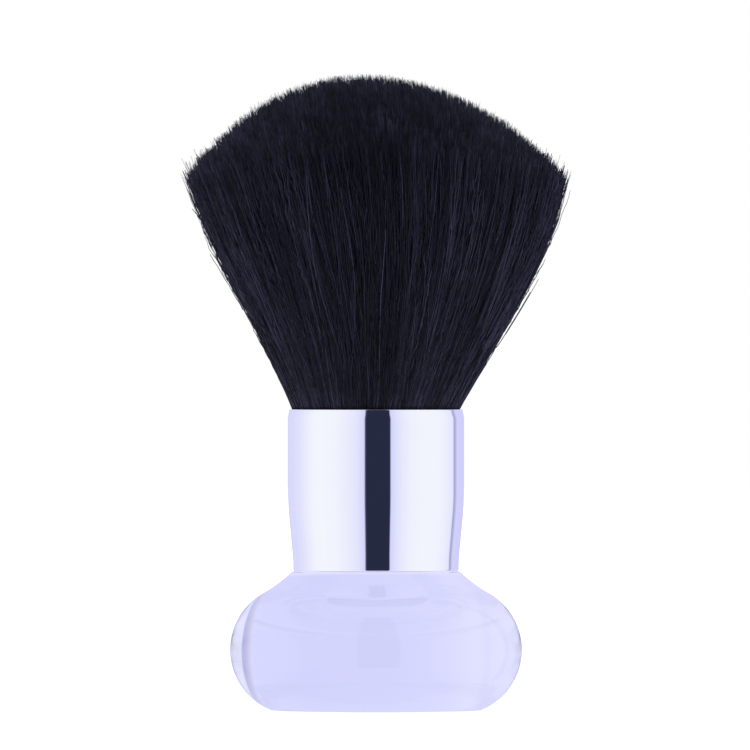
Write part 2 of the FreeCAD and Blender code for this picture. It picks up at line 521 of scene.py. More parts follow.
@dataclass(frozen=True)
class BristleFibre:
    """Dyed bristle: most strands are neutral black, and a few catch the light as fine violet lines. Painted
    light is in the colour too: strands are painted darker low on the head and lighter high up.
    """

    deep: Colour = (0.0076, 0.0079, 0.0099)
    soft: Colour = (0.064, 0.061, 0.111)
    # tip colour: partly the cut ends' own paler look, partly painted light on the exposed tips
    tip: Colour = (0.070, 0.066, 0.120)
    sheen: Colour = (0.84, 0.82, 1.0)
    # painted light and shade: strand colour is painted darker below the first height and lighter above the
    # second
    shaded_below: float = 58.0 * MM
    lit_above: float = 88.0 * MM
    mottle: Pattern = Pattern(6.0)
    mottle_shift: float = 97.0
    mottle_length: float = 3.0
    tip_start: float = 0.93
    roughness: float = 0.30
    bins: int = 64

    def make(self) -> Material:
        """Builds the material, whose pattern follows each strand's own map."""
        constants = {"Specular IOR Level": 0.1, "Specular Tint": self.sheen, "IOR": 1.5}
        bench = SurfaceBench("bristle_fibre", constants)
        across, along, _ = bench.arrow("ShaderNodeUVMap", {"uv_map": STRAND_MAP}, {}).parts()
        tone = ((across * float(self.bins)).whole() + 0.5) / float(self.bins)
        on_strand = bench.combine(tone * self.mottle_shift, along * self.mottle_length)
        mottle = bench.noise(self.mottle, on_strand)
        _, _, height = bench.place().parts()
        # painted light: the colour is darker low on the head and lighter high up, where the light falls
        painted_daylight = height.between(self.shaded_below, self.lit_above) * 0.5 + 0.5
        body = bench.blend_colours((tone * (mottle * 1.2 + 0.4) * painted_daylight).held(), self.deep, self.soft)
        # tips painted lighter: partly the cut ends' paler look, partly painted light on the exposed tips
        tipped = along.between(self.tip_start, 1.0) * (tone * 0.8 + 0.02)
        return bench.feed(
            Base_Color=bench.blend_colours(tipped, body, self.tip),
            Roughness=mottle * 0.18 + tone * 0.12 + self.roughness,
        )


# ---- outlines and turned pieces


# A place in a half outline is a complex number: distance from the axis, then height. A corner is its
# distance from the axis, its height and its rounding.
CLOSE = 0.0001 * MM
MERGED = 0.00001 * MM
LONGEST_CUT = 0.49
TURNED_CREASE = 24.0
FOOT_MIDDLE: Corner = (0.0, 0.0, 0.0)


def direction(start: complex, end: complex) -> complex:
    """The unit step from start towards end."""
    return (end - start) / abs(end - start)


def arc_from(start: complex, heading: complex, end: complex, steps: int) -> list[complex]:
    """The arc that leaves start along a heading and reaches end.

    Args:
        start: where it starts.
        heading: the unit step along it there.
        end: where it ends.
        steps: how many straight steps stand for it.

    Returns:
        The places after start, up to end.
    """
    chord = end - start
    lean = (chord * heading.conjugate()).imag
    if abs(lean) < 1e-9 * abs(chord):
        return [end]
    radius = abs(chord) ** 2 / (2 * lean)
    centre = start + 1j * heading * radius
    sweep = math.copysign(2 * math.asin(min(1.0, abs(chord / (2 * radius)))), radius)
    turns = (1j * sweep * step / steps for step in range(1, steps))
    return [centre + (start - centre) * cmath.exp(turn) for turn in turns] + [end]


def rounded_outline(corners: Sequence[Corner], steps: int) -> list[complex]:
    """A closed half outline with its corners rounded.

    Args:
        corners: the corners in order.
        steps: how many straight steps stand for each rounding.

    Returns:
        The outline's places in order.
    """
    places = [complex(radius, height) for radius, height, _ in corners]
    outline: list[complex] = []
    for index, (corner, (_, _, rounding)) in enumerate(zip(places, corners)):
        last, following = places[index - 1], places[(index + 1) % len(places)]
        before, after = direction(last, corner), direction(corner, following)
        cosine = max(abs(before + after) / 2, 1e-9)
        reach = rounding * math.sqrt(max(0.0, 1 - cosine**2)) / cosine
        reach = min(reach, LONGEST_CUT * abs(corner - last), LONGEST_CUT * abs(following - corner))
        if reach < CLOSE:
            outline.append(corner)
        else:
            start = corner - before * reach
            outline += [start] + arc_from(start, before, corner + after * reach, steps)
    return outline


def with_long_runs_split(outline: Sequence[complex], longest: float) -> list[complex]:
    """The outline with extra places wherever a straight run is longer than a limit.

    Args:
        outline: the closed outline.
        longest: the longest run left whole.

    Returns:
        The places in order.
    """
    places: list[complex] = []
    for start, end in zip(outline, [*outline[1:], outline[0]]):
        on_axis = max(start.real, end.real) < CLOSE
        pieces = 1 if on_axis else max(1, math.ceil(abs(end - start) / longest))
        places += [start + (end - start) * piece / pieces for piece in range(pieces)]
    return places


def turned_piece(name: str, outline: Sequence[complex], segments: int) -> Piece:
    """Turns a closed half outline about the Z axis into a finished mesh piece.

    Args:
        name: the piece's name.
        outline: its places in order, closed by the first.
        segments: how many faces go round.

    Returns:
        The new object, at the origin.
    """
    turns = [FULL_TURN * step / segments for step in range(segments)]
    rings = [
        [(place.real * math.cos(turn), place.real * math.sin(turn), place.imag) for turn in turns]
        for place in outline
    ]
    return ringed_piece(name, rings, TURNED_CREASE)


def ringed_piece(name: str, rings: Sequence[Sequence[Point]], crease: float) -> Piece:
    """A closed piece that joins each ring of points to the next, and the last to the first.

    Args:
        name: the piece's name.
        rings: rings with the same number of points; an end is one point repeated.
        crease: edges that turn by more than this many degrees stay sharp.

    Returns:
        The new object, at the origin, with its faces outwards.
    """
    numbers: dict[Point, int] = {}
    loops = [[numbers.setdefault(point, len(numbers)) for point in ring] for ring in rings]
    faces = []
    for loop, other in zip(loops, [*loops[1:], loops[0]]):
        for step in range(len(loop)):
            after = (step + 1) % len(loop)
            corners = list(dict.fromkeys((loop[step], loop[after], other[after], other[step])))
            if len(corners) > 2:
                faces.append(corners)
    mesh = bpy.data.meshes.new(name)
    mesh.from_pydata(list(numbers), [], faces)
    work = bmesh.new()
    work.from_mesh(mesh)
    bmesh.ops.remove_doubles(work, verts=work.verts, dist=MERGED)
    bmesh.ops.recalc_face_normals(work, faces=work.faces)
    work.to_mesh(mesh)
    work.free()
    mesh.shade_smooth()
    mesh.set_sharp_from_angle(angle=math.radians(crease))
    return placed(name, mesh)


def placed(name: str, data: bpy.types.ID) -> Piece:
    """Puts a mesh or a camera into the scene as an object at the origin."""
    thing = bpy.data.objects.new(name, data)
    bpy.context.scene.collection.objects.link(thing)
    return thing


def dress(piece: Piece, material: Material) -> None:
    """Gives a piece its one material."""
    if not piece.material_slots:
        piece.data.materials.append(material)
    for material_slot in piece.material_slots:
        material_slot.material = material


def triangles(piece: Piece) -> int:
    """How many triangles a mesh piece has."""
    return sum(len(polygon.vertices) - 2 for polygon in piece.data.polygons)


# ---- clear base


@dataclass
class ClearBase:
    """The clear base that fills the palm, with the ferrule's seat and the spigot inside it."""

    foot_radius: float = 20.8 * MM
    foot_edge_round: float = 0.4 * MM
    widest_radius: float = 28.85 * MM
    widest_height: float = 11.9 * MM
    shoulder_radius: float = 22.30 * MM
    shoulder_height: float = 23.1 * MM
    seat_rim_radius: float = 16.60 * MM
    rim_height: float = 27.35 * MM
    seat_radius: float = 16.40 * MM
    seat_height: float = 27.1 * MM
    spigot_radius: float = 14.27 * MM
    spigot_edge_round: float = 0.6 * MM
    spigot_top: float = field(default_factory=lambda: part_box("clear_base")[1].z)
    groove_depth: float = 0.5 * MM
    groove_width: float = 1.8 * MM
    groove_lows: Span = (30.53 * MM, 34.37 * MM)
    segments: int = 288
    arc_steps: int = 44
    neck_steps: int = 16
    edge_steps: int = 8
    longest_run: float = 1.5 * MM

    def outline(self) -> list[complex]:
        """The base's closed half outline, from the widest place up, inside and round by the foot."""
        widest = complex(self.widest_radius, self.widest_height)
        shoulder = complex(self.shoulder_radius, self.shoulder_height)
        seat_rim = complex(self.seat_rim_radius, self.rim_height)
        lower = arc_from(widest, -1j, complex(self.foot_radius), self.arc_steps)
        last = lower[-2]
        foot = [(last.real, last.imag, 0.0), (self.foot_radius, 0.0, self.foot_edge_round), FOOT_MIDDLE]
        foot_edge = rounded_outline(foot, self.edge_steps)
        upper = arc_from(widest, 1j, shoulder, self.arc_steps)
        neck_heading = direction(widest, shoulder) ** 2 * -1j
        neck = arc_from(shoulder, neck_heading, seat_rim, self.neck_steps)
        inside = rounded_outline(self.inside_corners() + [FOOT_MIDDLE], self.edge_steps)
        return upper + neck[:-1] + inside[:-1] + foot_edge[::-1][:-1] + lower[:-1][::-1] + [widest]

    def inside_corners(self) -> list[Corner]:
        """The corners of the seat and the grooved spigot, from the seat's rim to the axis."""
        core = self.spigot_radius - self.groove_depth
        places = [(self.seat_rim_radius, self.rim_height), (self.seat_radius, self.rim_height)]
        places += [(self.seat_radius, self.seat_height), (self.spigot_radius, self.seat_height)]
        for low in self.groove_lows:
            high = low + self.groove_width
            places += [(self.spigot_radius, low), (core, low), (core, high), (self.spigot_radius, high)]
        top = [(self.spigot_radius, self.spigot_top, self.spigot_edge_round), (0.0, self.spigot_top, 0.0)]
        return [(radius, height, 0.0) for radius, height in places] + top

    def build(self) -> Piece:
        """Builds, dresses and attaches the base, and returns it."""
        outline = with_long_runs_split(self.outline(), self.longest_run)
        piece = turned_piece("palm_base", outline, self.segments)
        dress(piece, ClearAcrylic().make())
        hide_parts("clear_base")
        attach(piece, HANDLE)
        return piece


# ---- ferrule


@dataclass
class Ferrule:
    """The polished shell that holds the bristles, with its turned-in foot and gathered mouth."""

    seat_height: float = field(default_factory=lambda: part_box("ferrule")[0].z)
    mouth_height: float = field(default_factory=lambda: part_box("ferrule")[1].z)
    barrel_radius: float = field(default_factory=lambda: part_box("ferrule")[1].x)
    foot_radius: float = 16.35 * MM
    wall: float = 0.5 * MM
    taper_start: float = 2.4 * MM
    taper_end: float = 13.6 * MM
    taper_blend: float = 60.0 * MM
    foot_round: float = 0.8 * MM
    lip_bore: float = 14.37 * MM
    curl_height: float = 1.6 * MM
    curl_in: float = 0.35 * MM
    curl_round: float = 5.0 * MM
    edge_round: float = 0.2 * MM
    segments: int = 320
    round_steps: int = 14
    longest_run: float = 2.0 * MM

    def corners(self) -> list[Corner]:
        """The half outline's corners, up the outside and down the inside."""
        low = self.seat_height + self.taper_start
        high = self.seat_height + self.taper_end
        curl = self.mouth_height - self.curl_height
        mouth = self.barrel_radius - self.curl_in
        bore = self.barrel_radius - self.wall
        foot_bore = self.foot_radius - self.wall
        lip_top = self.seat_height + self.wall
        return [
            (self.lip_bore, self.seat_height, 0.0),
            (self.foot_radius, self.seat_height, self.foot_round),
            (self.foot_radius, low, self.taper_blend),
            (self.barrel_radius, high, self.taper_blend),
            (self.barrel_radius, curl, self.curl_round),
            (mouth, self.mouth_height, self.edge_round),
            (mouth - self.wall, self.mouth_height, self.edge_round),
            (bore, curl, self.curl_round),
            (bore, high, self.taper_blend),
            (foot_bore, low, self.taper_blend),
            (foot_bore, lip_top, self.foot_round - self.wall),
            (self.lip_bore, lip_top, 0.0),
        ]

    def build(self) -> Piece:
        """Builds, dresses and attaches the ferrule, and returns it."""
        outline = rounded_outline(self.corners(), self.round_steps)
        outline = with_long_runs_split(outline, self.longest_run)
        piece = turned_piece("polished_ferrule", outline, self.segments)
        dress(piece, POLISHED_METAL.make())
        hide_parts("ferrule")
        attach(piece, HANDLE)
        return piece


# ---- pieces inside the ferrule


@dataclass
class InnerFittings:
    """The pieces that the ferrule hides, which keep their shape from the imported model."""

    glue: PouredFilling = PouredFilling(
        setting=Setting.GLUE, clear=(0.72, 0.70, 0.60), cloudy=(0.80, 0.79, 0.72), bubble=(0.95, 0.95, 0.92)
    )
    resin: PouredFilling = PouredFilling(
        setting=Setting.RESIN, clear=(0.42, 0.19, 0.035), cloudy=(0.55, 0.30, 0.08), bubble=(0.80, 0.62, 0.30)
    )

    def build(self) -> None:
        """Dresses each hidden piece."""
        finishes = {
            "inner_sleeve": MOULDED_SLEEVE,
            "spigot_glue": self.glue,
            "root_resin": self.resin,
            "root_band": CRIMPED_BAND,
            "bristle_root": PACKED_BRISTLE,
        }
        for node, finish in finishes.items():
            dress(frame["nodes"][node], finish.make())
            log.info("dressed %s", node)


# ---- bristle head


@dataclass
class HeadShape:
    """The flared bundle and the dome that it is trimmed to."""

    FOR_STRANDS: ClassVar[tuple[str, ...]] = (
        "mouth_radius", "half_width", "half_depth", "side_lean",
        "mouth_height", "rise", "dome_radius", "dome_centre",
    )

    mouth_radius: float = 16.5 * MM
    half_width: float = 37.1 * MM
    half_depth: float = 31.0 * MM
    swell: float = 5.0 * MM
    side_lean: float = 0.9 * MM
    mouth_height: float = field(default_factory=lambda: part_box("bristle_waist")[0].z)
    rim_height: float = 105.2 * MM
    top_height: float = field(default_factory=lambda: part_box("bristle_head")[1].z)

    @property
    def rise(self) -> float:
        """From the mouth up to the side rim."""
        return self.rim_height - self.mouth_height

    @property
    def dome_radius(self) -> float:
        """The radius of the dome."""
        dome_height = self.top_height - self.rim_height
        return (self.half_width**2 + dome_height**2) / (2 * dome_height)

    @property
    def dome_centre(self) -> float:
        """The height of the dome's centre."""
        return self.top_height - self.dome_radius

    def tip_share(self, x: float, y: float) -> float:
        """How far up a strand meets the dome.

        Args:
            x: the strand's place in the bundle across, -1 to 1.
            y: its place through, -1 to 1.

        Returns:
            The height above the mouth as a share of the rise.
        """
        start = (self.mouth_radius * x, self.mouth_radius * y, self.mouth_height - self.dome_centre)
        spread = (self.half_width - self.mouth_radius, self.half_depth - self.mouth_radius)
        way = (spread[0] * x, spread[1] * y, self.rise)
        square = sum(part**2 for part in way)
        lean = sum(part * other for part, other in zip(start, way))
        rest = sum(part**2 for part in start) - self.dome_radius**2
        return (math.sqrt(lean**2 - square * rest) - lean) / square

    def place(self, x: float, y: float, share: float) -> Point:
        """Where a strand is at a share of the rise above the mouth."""
        swell = self.swell * share * share * (1 - share)
        lean = 4 * self.side_lean * share * (1 - share)
        return (
            x * (self.mouth_radius + share * (self.half_width - self.mouth_radius) + swell) + lean,
            y * (self.mouth_radius + share * (self.half_depth - self.mouth_radius) + swell),
            self.mouth_height + share * self.rise,
        )


@dataclass(frozen=True)
class StrandLayer:
    """One layer of strands, shared out over some pieces by sector.

    Rings are shares of the bundle's radius. Visible is the length drawn, from the tip down. Sway is
    how far a strand waves aside, splay how far its tip strays, swell how far it bellies out, and room
    how far past the bundle's side it may stand. Scatters say how much shorter strands can be.
    """

    name: str
    strands: int
    inner: float
    tone: float
    thickness: float
    sway: float
    splay: float
    swell: float
    room: float
    length_scatter: float
    scatter_power: float
    clump_scatter: float
    lock_share: float
    seed: int
    pieces: int = 1
    segments: int = 6
    outer: float = 1.0
    visible: float = 90.0 * MM
    taper: float = 0.5
    waves: float = 1.0
    tip_lift: float = 0.0


SIDE_STRANDS = StrandLayer(
    name="side_bristles", pieces=4, strands=4700, seed=11, inner=0.84, tone=1.0, thickness=0.080 * MM,
    sway=0.75 * MM, splay=1.3 * MM, swell=10.5 * MM, room=0.6 * MM,
    length_scatter=13.0 * MM, scatter_power=3.5, clump_scatter=1.6 * MM, lock_share=0.3,
)
DOME_STRANDS = StrandLayer(
    name="dome_bristles", pieces=3, strands=13600, segments=2, seed=47, inner=0.0, outer=0.985,
    visible=10 * MM, tone=1.4, thickness=0.078 * MM, taper=0.30,
    sway=0.3 * MM, splay=0.45 * MM, tip_lift=0.7, swell=5.0 * MM, room=0.9 * MM,
    length_scatter=1.3 * MM, scatter_power=1.5, clump_scatter=1.8 * MM, lock_share=0.75,
)
CROSSING_STRANDS = StrandLayer(
    name="crossing_bristles", strands=2400, segments=9, seed=61, inner=0.965, tone=2.4,
    thickness=0.060 * MM, sway=1.1 * MM, waves=1.2, splay=4.6 * MM, swell=10.0 * MM, room=1.2 * MM,
    length_scatter=30.0 * MM, scatter_power=3.0, clump_scatter=2.0 * MM, lock_share=0.2,
)
FRINGE_STRANDS = StrandLayer(
    name="fringe_bristles", strands=4900, seed=71, inner=0.985, visible=6.5 * MM, tone=1.1,
    thickness=0.072 * MM, sway=0.34 * MM, waves=12.0, splay=1.4 * MM, tip_lift=1.0, swell=12.0 * MM,
    room=1.2 * MM, length_scatter=38.0 * MM, scatter_power=1.3, clump_scatter=1.0 * MM, lock_share=0.4,
)
STRAY_STRANDS = StrandLayer(
    name="stray_bristles", strands=2400, segments=9, seed=83, inner=0.992, outer=1.004, visible=11 * MM,
    tone=0.7, thickness=0.095 * MM, taper=0.8, sway=0.36 * MM, waves=9.0, splay=1.2 * MM, tip_lift=0.5,
    swell=14.0 * MM, room=1.9 * MM, length_scatter=46.0 * MM, scatter_power=1.3, clump_scatter=2.0 * MM,
    lock_share=0.2,
)


@dataclass(frozen=True)
class Grouping:
    """How strands gather: the clumps, the wisps in them and the locks in those, and how all are cut.

    Scales are how many groups there are to the bundle's radius, pulls are how far tips draw together,
    as a share of the way, and lengths are measured along the strands.
    """

    clump_scale: float = 13.0
    clump_pull: float = 0.22
    wisp_scale: float = 42.0
    wisp_pull: float = 0.32
    lock_scale: float = 62.0
    root_share: float = -0.035
    overgrowth: float = 1.1 * MM
    edge_wear: float = 1.2 * MM


@dataclass(frozen=True)
class StrandHabit:
    """How a strand differs from its neighbours, in shares, powers and ranges without a unit."""

    wisp_shift: Span = (3.7, 1.9)
    lock_shift: Span = (5.3, 2.2)
    clump_trim: float = 0.08
    wisp_trim: float = 0.17
    lock_trim: float = 0.75
    edge_power: float = 10.0
    girth: Span = (0.7, 1.25)
    patch_scale: float = 2.6
    patch_edge: Span = (0.35, 0.68)
    own_power: float = 4.0
    lock_power: float = 3.0
    least_tone: float = 0.20
    patch_tone: float = 0.7
    wisp_tone: float = 0.3
    # painted light: how much lighter strands are painted toward the bundle's left and right sides
    side_tone: float = 0.85
    added_tone: float = 0.03
    wild_power: float = 5.0
    wild_share: float = 2.4
    tame_share: float = 0.6
    swell_power: float = 2.0
    swell_share: float = 0.8
    least_swell: float = 0.35
    wisp_phase: float = 0.6
    wave_range: Span = (0.6, 1.3)


class StrandTree:
    """The node tree that grows strands, from the mouth out with the bundle and up to the dome."""

    KINDS = {int: "NodeSocketInt", float: "NodeSocketFloat", Material: "NodeSocketMaterial"}
    KEPT_PREFIX = "strand_"
    SEED_STEP = 101
    FLAT = (1.0, 1.0, 0.0)
    THROUGH = (0.0, 1.0, 0.0)

    def __init__(self, sample: Mapping[str, Value], habit: StrandHabit) -> None:
        """Builds the tree.

        Args:
            sample: one piece's inputs by name; the tree gets a named input for each.
            habit: how strands differ from one another.
        """
        self.habit = habit
        self.tree = bpy.data.node_groups.new("strand_growth", "GeometryNodeTree")
        self.bench = Bench(self.tree)
        declare = self.tree.interface.new_socket
        self.identifiers: dict[str, str] = {}
        for key, value in sample.items():
            label, kind = key.replace("_", " ").title(), self.KINDS[type(value)]
            self.identifiers[key] = declare(label, in_out="INPUT", socket_type=kind).identifier
        declare("Geometry", in_out="OUTPUT", socket_type="NodeSocketGeometry")
        outputs = self.bench.add("NodeGroupInput").outputs
        signals = {key: Signal(self.bench, socket) for key, socket in zip(sample, outputs)}
        self.given = SimpleNamespace(**signals)
        self.seeds_used = 0
        self._grow()

    def _random(self, low: float = 0.0, high: float = 1.0) -> Signal:
        """A new random number for each strand."""
        self.seeds_used += 1
        seed = self.given.seed + float(self.seeds_used * self.SEED_STEP)
        inputs = {"Min": low, "Max": high, "Seed": seed}
        return self.bench.signal("FunctionNodeRandomValue", {"data_type": "FLOAT"}, inputs, 1)

    def _random_flat(self) -> Arrow:
        """A new random level vector for each strand, each part between -1 and 1."""
        return self.bench.combine(self._random(-1.0, 1.0), self._random(-1.0, 1.0))

    def _keep(
        self, geometry: Socket, name: str, value: Value, kind: str = "FLOAT_VECTOR", domain: str = "POINT"
    ) -> Socket:
        """Stores a named value on the geometry."""
        inputs = {"Geometry": geometry, "Name": name, "Value": value}
        settings = {"data_type": kind, "domain": domain}
        return self.bench.add("GeometryNodeStoreNamedAttribute", settings, inputs).outputs["Geometry"]

    def _kept(self, name: str) -> Arrow:
        """Reads back a stored value."""
        kind = {"data_type": "FLOAT_VECTOR"}
        return self.bench.arrow("GeometryNodeInputNamedAttribute", kind, {"Name": name})

    def _group(self, unit: Arrow, scale: Signal) -> tuple[Arrow, Signal, Signal]:
        """The middle of the group that a strand belongs to, and two random numbers of the group's own."""
        settings = {"voronoi_dimensions": "2D", "feature": "F1"}
        node = self.bench.add("ShaderNodeTexVoronoi", settings, {"Vector": unit, "Scale": scale})
        tone, trim, _ = Arrow(self.bench, node.outputs["Color"]).parts()
        return Arrow(self.bench, node.outputs["Position"]), tone, trim

    def _way(self, across: Signal, through: Signal) -> Arrow:
        """From the mouth to the height of the side rim, along a strand at a place in the bundle."""
        given = self.given
        spread = (given.half_width - given.mouth_radius, given.half_depth - given.mouth_radius)
        return self.bench.combine(across * spread[0], through * spread[1], given.rise)

    def _tip_share(self, tip: Arrow) -> Signal:
        """How far up each strand meets the dome, as a share of the rise."""
        given = self.given
        across, through, _ = tip.parts()
        drop = given.mouth_height - given.dome_centre
        start = self.bench.combine(across * given.mouth_radius, through * given.mouth_radius, drop)
        way = self._way(across, through)
        square, lean = way.dot(way), start.dot(way)
        rest = start.dot(start) - given.dome_radius**2.0
        return ((lean * lean - square * rest).root() - lean) / square

    def _seeded(self) -> Socket:
        """One point for each strand, holding all that its shape needs."""
        bench, given, habit = self.bench, self.given, self.habit
        least = given.inner * given.inner
        ring = (least + (given.outer * given.outer - least) * self._random()).root()
        turn = given.sector_start + given.sector_size * self._random()
        unit = bench.combine(ring * turn.maths("COSINE"), ring * turn.maths("SINE"))
        wisp_shift = bench.combine(*habit.wisp_shift)
        clump, clump_tone, clump_trim = self._group(unit, given.clump_scale)
        wisp, wisp_tone, wisp_trim = self._group(unit + wisp_shift, given.wisp_scale)
        _, lock_tone, lock_trim = self._group(unit + bench.combine(*habit.lock_shift), given.lock_scale)
        pull = (clump - unit) * given.clump_pull + (wisp - wisp_shift - unit) * given.wisp_pull
        lean = pull * bench.combine(*self.FLAT)
        tip = self._tip_share(unit + lean)
        short = (self._random() ** given.scatter_power) * given.length_scatter
        trim = clump_trim * habit.clump_trim + wisp_trim * habit.wisp_trim + lock_trim * habit.lock_trim
        short = short + trim * given.clump_scatter
        short = short + (ring**habit.edge_power) * self._random() * given.edge_wear
        tip = tip + (given.overgrowth - short) / given.rise
        root = given.root_share.maths("MAXIMUM", tip - given.visible / given.rise)
        thickness = given.thickness * self._random(*habit.girth)

        noise = {"Vector": unit, "Scale": habit.patch_scale, "Detail": 2.0}
        patch = bench.signal("ShaderNodeTexNoise", {}, noise).between(*habit.patch_edge)
        own_tone = self._random() ** habit.own_power
        tone = own_tone + (lock_tone**habit.lock_power - own_tone) * given.lock_share
        across, through, _ = unit.parts()
        shade = patch * habit.patch_tone + wisp_tone * habit.wisp_tone + habit.least_tone
        # strands toward the left and right sides are painted lighter: painted light from the side panels
        tone = tone * (shade + across * across * habit.side_tone)
        tone = tone + clump_tone * habit.added_tone + wisp_tone * habit.added_tone
        bin_number = (tone * given.tone * given.bins).whole().maths("MINIMUM", given.bins - 1.0)

        bow = self._random_flat() * given.sway
        wild = (self._random() ** habit.wild_power) * habit.wild_share + habit.tame_share
        splay = self._random_flat() * (given.splay * wild)
        bulge = (self._random() ** habit.swell_power) * habit.swell_share + habit.least_swell
        phase = wisp_tone * habit.wisp_phase + self._random() * (1.0 - habit.wisp_phase)
        waves = self._random(*habit.wave_range) * given.waves
        kept = {
            "strand_unit": bench.combine(across, through, bin_number),
            "strand_lean": lean,
            "strand_span": bench.combine(root, tip, thickness),
            "strand_bow": bow,
            "strand_splay": splay,
            "strand_form": bench.combine(given.swell * bulge, phase, waves),
        }
        points = bench.add("GeometryNodePoints", {}, {"Count": given.strands}).outputs["Points"]
        for name, value in kept.items():
            points = self._keep(points, name, value)
        return points

    def _template(self) -> Socket:
        """A three-sided rod of length 1 with its own map."""
        size = {"Vertices": 3, "Side Segments": self.given.segments, "Radius": 1.0, "Depth": 1.0}
        node = self.bench.add("GeometryNodeMeshCylinder", {"fill_type": "NGON"}, size)
        return self._keep(node.outputs["Mesh"], "strand_map", node.outputs["UV Map"], "FLOAT2", "CORNER")

    def _bent(self, rods: Socket) -> Socket:
        """Moves every rod's corners on to its strand."""
        bench, given = self.bench, self.given
        out_x, out_y, height = bench.arrow("GeometryNodeInputPosition", {}, {}).parts()
        along = height + 0.5
        root, tip, thickness = self._kept("strand_span").parts()
        share = root + (tip - root) * along
        ripe = (share / tip).held()
        across, through, _ = (self._kept("strand_unit") + self._kept("strand_lean") * (ripe * ripe)).parts()
        own_swell, phase, waves = self._kept("strand_form").parts()
        swell = own_swell * share * share * (1.0 - share)
        wide, deep = (
            given.mouth_radius + share * (half - given.mouth_radius) + swell
            for half in (given.half_width, given.half_depth)
        )
        centre = bench.combine(across * wide, through * deep, given.mouth_height + share * given.rise)
        swing = ((ripe * waves + phase) * FULL_TURN).maths("SINE") - (phase * FULL_TURN).maths("SINE")
        centre = centre + self._kept("strand_bow") * swing
        lift = given.tip_lift
        centre = centre + self._kept("strand_splay") * (ripe * (1.0 - lift) + along * along * lift)
        aside, before, height = centre.parts()
        room = given.room * share
        reach = ((aside / (wide + room)) ** 2.0 + (before / (deep + room)) ** 2.0).root()
        inward = 1.0 / reach.maths("MAXIMUM", 1.0)
        aside = aside * inward + given.side_lean * 4.0 * share * (1.0 - share)
        centre = bench.combine(aside, before * inward, height)
        way = self._way(across, through).unit()
        first = way.cross(self.THROUGH).unit()
        second = way.cross(first)
        girth = thickness * (1.0 - (1.0 - given.taper) * (along**3.0))
        outward = first * (out_x * girth) + second * (out_y * girth)
        moved = {"Geometry": rods, "Position": centre + outward}
        return bench.add("GeometryNodeSetPosition", {}, moved).outputs["Geometry"]

    def _grow(self) -> None:
        """Joins the tree's steps up to its output."""
        bench = self.bench
        spin = bench.combine(0.0, 0.0, self._random(0.0, FULL_TURN))
        placing = {"Points": self._seeded(), "Instance": self._template(), "Rotation": spin}
        rods = bench.add("GeometryNodeInstanceOnPoints", {}, placing).outputs["Instances"]
        rods = bench.add("GeometryNodeRealizeInstances", {}, {"Geometry": rods}).outputs["Geometry"]
        strands = self._bent(rods)
        _, _, bin_number = self._kept("strand_unit").parts()
        map_across, map_along, _ = self._kept("strand_map").parts()
        own_map = bench.combine((bin_number + map_across * 0.9 + 0.05) / self.given.bins, map_along)
        strands = self._keep(strands, STRAND_MAP, own_map, "FLOAT2", "CORNER")
        strands = bench.add("GeometryNodeSetShadeSmooth", {}, {"Geometry": strands}).outputs["Geometry"]
        material = {"Geometry": strands, "Material": self.given.material}
        strands = bench.add("GeometryNodeSetMaterial", {}, material).outputs["Geometry"]
        bench.add("NodeGroupOutput", {}, {"Geometry": strands})

    def grow(self, name: str, values: Mapping[str, Value]) -> Piece:
        """Grows one piece and leaves it as a plain mesh.

        Args:
            name: the piece's name.
            values: the tree's inputs by name.

        Returns:
            The new object, at the origin.
        """
        carrier = placed(f"{name}_carrier", bpy.data.meshes.new(f"{name}_carrier"))
        modifier = carrier.modifiers.new("growth", "NODES")
        modifier.node_group = self.tree
        for key, value in values.items():
            modifier[self.identifiers[key]] = value
        evaluated = carrier.evaluated_get(bpy.context.evaluated_depsgraph_get())
        mesh = bpy.data.meshes.new_from_object(evaluated)
        mesh.name = name
        bpy.data.objects.remove(carrier)
        for attribute in [name for name in mesh.attributes.keys() if name.startswith(self.KEPT_PREFIX)]:
            mesh.attributes.remove(mesh.attributes[attribute])
        return placed(name, mesh)


